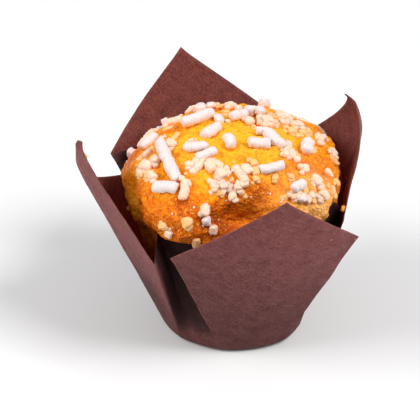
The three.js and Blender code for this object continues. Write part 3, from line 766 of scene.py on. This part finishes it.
def handling(spot):
    """Height of the soft folds and waves that handling leaves in the paper."""
    away = spot.to_2d().length - FOOT_RADIUS
    total = waves(spot, PAPER_WAVES)
    for azimuth, distance, direction, half, width, height in HANDLING_FOLDS:
        from_middle = spot - polar(azimuth, distance)
        way = polar(direction, 1)
        along = from_middle.dot(way)
        beside = abs(from_middle.cross(way).z)
        total += height * max(0.0, 1 - beside / width) * bell(along, half)
    return total * smoothstep(away, *HANDLED)


def turn_over(spot, flap):
    """Place of a spot of the sheet if it lies on a corner that is turned over, otherwise None."""
    corner, towards, depth, bend = flap
    way = polar(towards, 1)
    beyond = (spot - polar(corner, reach(corner))).dot(way) + depth
    if beyond <= 0 or abs((azimuth_of(spot) - corner + 180) % 360 - 180) > 30:
        return None
    angle = math.radians(bend)
    lies_at = spot - way * beyond * (1 - math.cos(angle))
    inward = -outward(lies_at)
    return folded(lies_at) + inward * (beyond * math.sin(angle) + FLAP_LIFT * (1 - math.cos(angle)))


def shade_and_grease_at(spot):
    """How far painted shade, with some grease, darkens the paper: the pressed pleats most, the foot of the
    wall a little, with painted light and shade at the listed spots.
    """
    flat, start, end = pair_round(azimuth_of(spot))
    up = spot.to_2d().length - FOOT_RADIUS
    low = SHADE_AND_GREASE["wall"] * (1 - smoothstep(up, *SHADE_AND_GREASE["fades"]))
    for azimuth, distance, spread, amount in PAINTED_LIGHT_AND_SHADE_SPOTS:
        low += amount * bell((spot - polar(azimuth, distance)).length, spread)
    low = max(low, 0.0)
    if "corner" in (start[0], end[0]):
        return low
    inside = math.inf
    if start[0] == "outer":
        inside = flat - start[1]
    if end[0] == "outer":
        inside = min(inside, end[1] - flat)
    pleated = smoothstep(inside, *SHADE_AND_GREASE["inwards"]) * smoothstep(up, *SHADE_AND_GREASE["upwards"])
    return max(low, SHADE_AND_GREASE["pleats"] * pleated)


def folded_case():
    """The paper case, one sheet thick, its outside facing out."""
    bm = flat_sheet()
    sheet = bm.loops.layers.uv.new("flat sheet")
    # A mask of painted shade, with some grease, for the paper's colour
    shaded_and_greased = bm.verts.layers.float.new("shaded_and_greased")
    spots = {v: v.co.copy() for v in bm.verts}
    for face in bm.faces:
        for loop in face.loops:
            spot = spots[loop.vert]
            loop[sheet].uv = (spot.x / SHEET_SIDE, spot.y / SHEET_SIDE)
    for v, spot in spots.items():
        v.co = folded(spot)
        v[shaded_and_greased] = shade_and_grease_at(spot)
    bmesh.ops.recalc_face_normals(bm, faces=bm.faces)
    lowest = min(bm.faces, key=lambda face: face.calc_center_median().z)
    if lowest.normal.z > 0:
        bmesh.ops.reverse_faces(bm, faces=bm.faces)
    bm.normal_update()
    moves = {v: v.normal * handling(spots[v]) for v in bm.verts}
    for v, move in moves.items():
        v.co += move
        for flap in TIP_FLAPS:
            turned = turn_over(spots[v], flap)
            if turned:
                v.co = turned
        v.co.z += PAPER / 2
    return bm


# Shaping the muffin


def crown_point(azimuth, climb):
    a = math.radians(climb)
    return polar(azimuth, CROWN["radius"] * math.cos(a), CROWN["middle"] + CROWN["height"] * math.sin(a))


def crown_normal(point):
    up = (point.z - CROWN["middle"]) / CROWN["height"] ** 2
    return Vector((point.x / CROWN["radius"] ** 2, point.y / CROWN["radius"] ** 2, up)).normalized()


def muffin_profile(latitude):
    """Radius and height of the plain muffin, from -90 under its middle to 90 at its peak."""
    wall_from, crown_from = -62, -24
    rim = crown_point(0, CROWN["starts_at"])
    if latitude < wall_from:
        return WALL["flat_radius"] * (latitude + 90) / (wall_from + 90), WALL["underside"]
    if latitude < crown_from:
        t = (latitude - wall_from) / (crown_from - wall_from)
        z = WALL["corner"] + (rim.z - WALL["corner"]) * t
        radius = WALL["foot_radius"] + (-rim.y - WALL["foot_radius"]) * t ** WALL["taper"]
        return radius, z
    climb = CROWN["starts_at"] + (90 - CROWN["starts_at"]) * (latitude - crown_from) / (90 - crown_from)
    top = crown_point(0, climb)
    return -top.y, top.z


def near_spot(point, azimuth, climb, spread):
    """1 at a spot of the crown, less away from it."""
    return bell((point - crown_point(azimuth, climb)).length, spread)


def lumps_at(point):
    return sum(height * near_spot(point, *spot) for *spot, height in LUMPS)


def brokenness(point):
    """1 where the crumb shows through the crust, low on the crown's right."""
    return near_spot(point, *BROKEN)


def crust_relief(point):
    """Crags, small billows and crumb of the crown."""
    crags = noise.fractal(point * CRAGS["pitch"], CRAGS["smoothness"], CRAGS["finer"], CRAGS["octaves"])
    fold = abs(noise.noise(point * BILLOWS["pitch"] + Vector(BILLOWS["shift"])))
    coarse = 1 + COARSER_WHERE_BROKEN * brokenness(point)
    relief = CRAGS["height"] * crags + BILLOWS["height"] * (BILLOWS["top"] - fold)
    return relief + waves(point, CRUMB_WAVES) * coarse


def undercut(azimuth, z):
    """How far the wall stands back under the crown's rim."""
    edge = RIM["height"] + RIM["rise"] * max(0.0, RIM["from"] - azimuth)
    return RIM["depth"] * smoothstep(edge - z, 0, 3) * bell(azimuth - RIM["azimuth"], RIM["width"])


def browning_and_shade_at(point):
    """How dark the crust is baked, from 0 to 1, with painted shade in the front hollow and painted light on
    the shaded wall under the rim.
    """
    level = BAKED["rim"] - BAKED["paler"] * smoothstep(point.z, *BAKED["heights"])
    for *spot, amount in BROWNING_AND_SHADE:
        level += amount * near_spot(point, *spot)
    level += waves(point, BAKED["wander"])
    return min(max(level, 0.0), 1.0)


def room_inside(tree, azimuth, z):
    """Free radius inside the paper round a place on the muffin."""
    nearest = math.inf
    for turn in FEEL_ROUND:
        for step in FEEL_UP:
            start = Vector((0, 0, max(z + step, WALL["underside"])))
            hit = tree.ray_cast(start, polar(azimuth + turn, 1))
            if hit[0] is not None:
                nearest = min(nearest, hit[3])
    return nearest - CASE_CLEARANCE


def muffin_body(paper_tree):
    """A ball of even facets drawn out to the muffin's profile, then given its lobes and crumb."""
    bm = bmesh.new()
    bmesh.ops.create_icosphere(bm, subdivisions=FACETS, radius=1)
    baked_and_shaded = bm.verts.layers.float.new("baked_and_shaded")
    broken = bm.verts.layers.float.new("broken")
    for v in bm.verts:
        azimuth = azimuth_of(v.co)
        radius, z = muffin_profile(math.degrees(math.asin(min(max(v.co.z, -1), 1))))
        point = polar(azimuth, radius, z)
        on_crown = smoothstep(z, CROWN["middle"] - CROWN["height"], CROWN["middle"] - FULL_RELIEF)
        if on_crown:
            relief = lumps_at(point) + crust_relief(point)
            point += crown_normal(point) * relief * on_crown
        if z > WALL["corner"]:
            point = push_out(point, -undercut(azimuth, point.z) * smoothstep(z, *UNDERCUT_FROM))
        if WALL["underside"] + 0.5 < point.z < PLEATS_END and radius > CASE_NEAR:
            room = room_inside(paper_tree, azimuth, point.z)
            wide = math.hypot(point.x, point.y)
            if wide > room:
                point = push_out(point, room - wide)
        v.co = point
        # Browning, with painted shade in the front hollow and painted light on the wall under the rim
        v[baked_and_shaded] = browning_and_shade_at(point)
        v[broken] = brokenness(point)
    bmesh.ops.recalc_face_normals(bm, faces=bm.faces)
    return bm


# Sugar nibs


def puffed(shape, shift, thick, ribs):
    """A nib's surface point moved to and fro by the puffs and ribs of pressed sugar."""
    cell = noise.voronoi(shape * (PUFFS["cells"] / thick) + shift)[0][0]
    wander = noise.noise(shape * RIBBING["wander"] + shift)
    rib = 0.5 - abs(math.sin(math.pi * shape.x / RIBBING["every"] + wander))
    swell = (PUFFS["swell"] - RIBBING["calmer"] * ribs) * (PUFFS["edge"] - cell)
    swell += PUFFS["waves"] * noise.noise(shape * PUFFS["pitch"] + shift)
    swell -= ribs * RIBBING["depth"] * rib
    return shape * (1 + swell * thick / max(shape.length, thick / 2))


def shape_nib(bm, verts, matrix, shapes, thick, ribs):
    """Sets a nib's vertices, flattens it a little and notes how high each lies on the crust."""
    height = bm.verts.layers.float["height"]
    shift = Vector((draw.uniform(-50, 50), draw.uniform(-50, 50), draw.uniform(-50, 50)))
    flatness = draw.uniform(*FLATNESS)
    for v, shape in zip(verts, shapes):
        place = puffed(shape, shift, thick, ribs)
        place.z *= flatness
        v[height] = 0.5 + place.z / thick
        v.co = matrix @ place


def add_rod(bm, matrix, length, thick):
    """A blunt rod lying along the matrix's X."""
    rings = max(ROD["fewest rings"], round(length / RING_EVERY))
    verts = bmesh.ops.create_uvsphere(bm, u_segments=ROD["sides"], v_segments=rings, radius=1)["verts"]
    bend = draw.uniform(*ROD["bend"]) * length
    bluntness = draw.uniform(*ROD["bluntness"])
    shapes = []
    for v in verts:
        along = math.asin(min(max(v.co.z, -1), 1)) / (math.pi / 2)
        around = Vector((v.co.x, v.co.y, 0)).normalized() if abs(along) < 0.999 else Vector((0, 0, 0))
        width = (1 - abs(along) ** bluntness) ** (1 / 3) * thick / 2
        sideways = bend * (0.5 - along * along)
        shapes.append(Vector((along * length / 2, around.x * width + sideways, around.y * width)))
    shape_nib(bm, verts, matrix, shapes, thick, 1)


def add_chip(bm, matrix, length, thick, subdivisions=3):
    """A short nib: a rounded block with its corners off."""
    verts = bmesh.ops.create_icosphere(bm, subdivisions=subdivisions, radius=1)["verts"]
    power = draw.uniform(*CHIP["squareness"])
    stretch = Vector((length, thick, thick)) / 2
    shapes = []
    for v in verts:
        block = Vector([math.copysign(abs(c) ** power, c) for c in v.co])
        shapes.append(Vector((block.x * stretch.x, block.y * stretch.y, block.z * stretch.z)))
    shape_nib(bm, verts, matrix, shapes, thick, CHIP["ribs"])


def add_nib(bm, matrix, length, thick, stuck):
    """A nib with the smaller lumps that are stuck to its sides."""
    if length > ROD_FROM * thick:
        add_rod(bm, matrix, length, thick)
    else:
        add_chip(bm, matrix, length, thick)
    for _ in range(stuck):
        along = draw.uniform(*LUMP["along"]) * length
        side = draw.choice((-1, 1)) * draw.uniform(*LUMP["beside"]) * thick
        beside = Vector((along, side, draw.uniform(*LUMP["up"]) * thick))
        turned = Matrix.Translation(beside) @ Matrix.Rotation(draw.uniform(0, math.pi), 4, "Z")
        size = thick * draw.uniform(*LUMP["size"])
        add_chip(bm, matrix @ turned, size * draw.uniform(*LUMP["length"]), size, 2)


def place_on_crown(tree, azimuth, climb, turn, thick, sunk):
    """Matrix for a nib on the cake's skin, its X axis turned from level."""
    guess = crown_point(azimuth, climb)
    normal = crown_normal(guess)
    skin = tree.ray_cast(guess + normal * 10, -normal)[0]
    level = polar(azimuth + 90, 1)
    uphill = normal.cross(level)
    along = level * math.cos(math.radians(turn)) + uphill * math.sin(math.radians(turn))
    return lying_at(skin + normal * thick * (0.5 - sunk), along, normal)


def sight(across, down):
    """Direction in which the camera sees a pixel of the photograph."""
    pixel = VIEW["film"] / VIEW["pixels"]
    middle = VIEW["pixels"] / 2
    seen = Vector(((across - middle) * pixel, (middle - down) * pixel, -VIEW["lens"]))
    return (Matrix.Rotation(math.radians(VIEW["tilt"]), 3, "X") @ seen).normalized()


def seen_on_crown(tree, across, down):
    """The cake's skin at a pixel, or at the first one below it where the skin faces the camera."""
    for lower in range(SEARCH_DOWN):
        way = sight(across, down + lower)
        skin, normal = tree.ray_cast(Vector(VIEW["place"]), way)[:2]
        if skin is not None and normal.dot(way) < -LEAST_FACING:
            break
    return skin, lower


def front_nib(tree, kind, first, last, thick):
    """Place, length and thickness of a nib whose two ends lie at pixels of the photograph."""
    eye = Vector(VIEW["place"])
    thick *= NIB_GROWTH["thickness"] / PIXELS_PER_MM
    skin, lower = seen_on_crown(tree, (first[0] + last[0]) / 2, (first[1] + last[1]) / 2)
    way = (skin - eye).normalized()
    lift = crown_normal(skin) * thick * (0.5 - SUNK[kind])
    aside = lift - way * lift.dot(way)
    skin = tree.ray_cast(eye, (skin - aside - eye).normalized())[0] or skin
    normal = crown_normal(skin)
    centre = skin + normal * thick * (0.5 - SUNK[kind])
    ends = []
    for across, down in (first, last):
        way = sight(across, down + lower)
        ends.append(eye + way * (centre - eye).dot(normal) / way.dot(normal))
    along = ends[1] - ends[0]
    longest = MOST_FORESHORTENED * math.dist(first, last) / PIXELS_PER_MM
    length = NIB_GROWTH["length"] * max(min(along.length, longest), SHORTEST_NIB * thick)
    along.normalize()
    return lying_at(centre, along, normal), length, thick


def crown_angles(point):
    """Azimuth of a point on the crown and how far up the crown it lies."""
    up = (point.z - CROWN["middle"]) / CROWN["height"]
    out = point.to_2d().length / CROWN["radius"]
    return azimuth_of(point), math.degrees(math.atan2(up, out))


def rear_places(spots):
    """Places for the nibs on the rear of the crown: seeded draws that keep their distance."""
    taken = [crown_point(*spot) for spot in spots]
    places = []
    for _ in range(MOST_TRIES):
        azimuth = draw.uniform(REAR_NIBS["from"], REAR_NIBS["to"])
        crest = math.degrees(math.atan(-math.cos(math.radians(azimuth))))
        climb = draw.uniform(REAR_CLIMB["lowest"], crest - REAR_CLIMB["below crest"])
        keep = math.cos(math.radians(climb))
        if climb <= REAR_CLIMB["sparse under"]:
            keep *= REAR_CLIMB["sparse share"]
        point = crown_point(azimuth, climb)
        clear = all((point - other).length > REAR_NIBS["spacing"] for other in taken)
        if clear and draw.random() < keep:
            taken.append(point)
            places.append((azimuth, climb))
        if len(places) == REAR_NIBS["count"]:
            break
    return places


def sugar_nibs(cake_tree):
    """The nibs of each kind as one joined mesh."""
    shapes = {kind: bmesh.new() for kind in SUNK}
    for bm in shapes.values():
        bm.verts.layers.float.new("height")
    nibs = []
    for kind, rows in NIBS.items():
        nibs += [(kind, *front_nib(cake_tree, kind, row[:2], row[2:4], row[4])) for row in rows]
    spots = [crown_angles(nib[1].translation) for nib in nibs]
    for azimuth, climb in rear_places(spots):
        kind = draw.choice(REAR_KINDS)
        thick = draw.uniform(REAR_NIBS["smallest"], REAR_NIBS["largest"])
        length = thick * draw.choice(REAR_LENGTHS) * NIB_GROWTH["length"]
        turn = draw.uniform(0, 180)
        thick *= NIB_GROWTH["thickness"]
        place = place_on_crown(cake_tree, azimuth, climb, turn, thick, SUNK[kind])
        nibs.append((kind, place, length, thick))
        spots.append((azimuth, climb))
    for kind, place, length, thick in nibs:
        add_nib(shapes[kind], place, length, thick, STUCK[kind])
    for _ in range(GRAINS["count"]):
        azimuth, climb = draw.choice(spots)
        size = draw.uniform(GRAINS["smallest"], GRAINS["largest"])
        azimuth += draw.gauss(0, GRAINS["strays"][0])
        climb += draw.gauss(0, GRAINS["strays"][1])
        place = place_on_crown(cake_tree, azimuth, climb, draw.uniform(0, 180), size, GRAINS["sunk"])
        add_chip(shapes["cream"], place, size * draw.uniform(1, 1.5), size, 1)
    return shapes


def cake_crumbs(paper_tree, cake_tree):
    """Loose crumbs on the paper and the dark specks on the crown, in one joined mesh."""
    bm = bmesh.new()
    height = bm.verts.layers.float.new("height")
    baked_and_shaded = bm.verts.layers.float.new("baked_and_shaded")
    broken = bm.verts.layers.float.new("broken")

    def add_crumb(matrix, length, thick, level):
        before = len(bm.verts)
        add_chip(bm, matrix, length, thick)
        bm.verts.ensure_lookup_table()
        for v in bm.verts[before:]:
            v[baked_and_shaded] = level
            v[broken] = CRUMB_BROKEN

    for azimuth, distance, side, length, thick, level in CRUMBS:
        spot = polar(azimuth, distance)
        normal = outward(spot) * side
        skin = paper_tree.find_nearest(folded(spot))[0]
        place = skin + normal * (CRUMB_LIFT * thick + PAPER / 2)
        add_crumb(lying_at(place, normal.orthogonal().normalized(), normal), length, thick, level)
    length, thick = SPECK["length"], SPECK["thickness"]
    for azimuth, climb in SPECKS:
        place = place_on_crown(cake_tree, azimuth, climb, SPECK["turn"], thick, SPECK["sunk"])
        add_crumb(place, length, thick, 1)
    bm.verts.layers.float.remove(height)
    return bm


# Pieces


def add_object(name, data):
    made = bpy.data.objects.new(name, data)
    bpy.context.scene.collection.objects.link(made)
    return made


def add_mesh(name, bm, materials):
    mesh = bpy.data.meshes.new(name)
    bm.to_mesh(mesh)
    bm.free()
    for material in materials:
        mesh.materials.append(material)
    return add_object(name, mesh)


def make_piece(name, bm, materials, replaced=()):
    """Scales the shape to metres, shades it smooth and sets it on the part's body."""
    bmesh.ops.scale(bm, vec=(METRES, METRES, METRES), verts=bm.verts)
    for face in bm.faces:
        face.smooth = True
    piece = add_mesh(name, bm, materials)
    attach(piece, "root")
    if replaced:
        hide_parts(*replaced)
    return piece


def make_paper(bm):
    faces = [paper_finish(*face) for face in PAPERS]
    piece = make_piece("folded_paper", bm, faces, ("paper_case",))
    thickness = piece.modifiers.new("paper thickness", "SOLIDIFY")
    thickness.thickness = PAPER * METRES
    thickness.offset = 0
    thickness.material_offset = 1
    thickness.material_offset_rim = 0
    return piece


def studio():
    """Plain pale floor, soft light and the camera."""
    bm = bmesh.new()
    bmesh.ops.create_grid(bm, x_segments=1, y_segments=1, size=FLOOR["size"])
    material = new_material("pale floor", FLOOR["roughness"], Base_Color=FLOOR["colour"])[0]
    add_mesh("floor", bm, [material])

    world = bpy.data.worlds.new("soft white room")
    world.use_nodes = True
    background = world.node_tree.nodes["Background"]
    background.inputs["Color"].default_value = (1, 1, 1, 1)
    background.inputs["Strength"].default_value = ROOM_LIGHT
    bpy.context.scene.world = world

    for name, place, size, power in LIGHTS:
        lamp = bpy.data.lights.new(name, "AREA")
        lamp.size = size
        lamp.energy = power
        holder = add_object(name, lamp)
        holder.location = place
        holder.rotation_euler = (Vector(LIT_PLACE) - Vector(place)).to_track_quat("-Z", "Y").to_euler()

    lens = bpy.data.cameras.new("camera")
    lens.lens = VIEW["lens"]
    lens.sensor_width = VIEW["film"]
    camera = add_object("camera", lens)
    camera.location = Vector(VIEW["place"]) * METRES
    camera.rotation_euler = (math.radians(VIEW["tilt"]), 0, 0)
    bpy.context.scene.camera = camera
    bpy.context.scene.view_settings.view_transform = "Standard"


paper_shape = folded_case()
paper_tree = BVHTree.FromBMesh(paper_shape)
muffin_shape = muffin_body(paper_tree)
cake_tree = BVHTree.FromBMesh(muffin_shape)
nib_shapes = sugar_nibs(cake_tree)
crumb_shape = cake_crumbs(paper_tree, cake_tree)

make_paper(paper_shape)
crust = crust_finish()
make_piece("muffin_body", muffin_shape, [crust], ("muffin",))
make_piece("cake_crumbs", crumb_shape, [crust])
for kind, values in SUGARS.items():
    make_piece(f"{kind}_nibs", nib_shapes[kind], [sugar_finish(f"{kind} sugar", *values)])
studio()
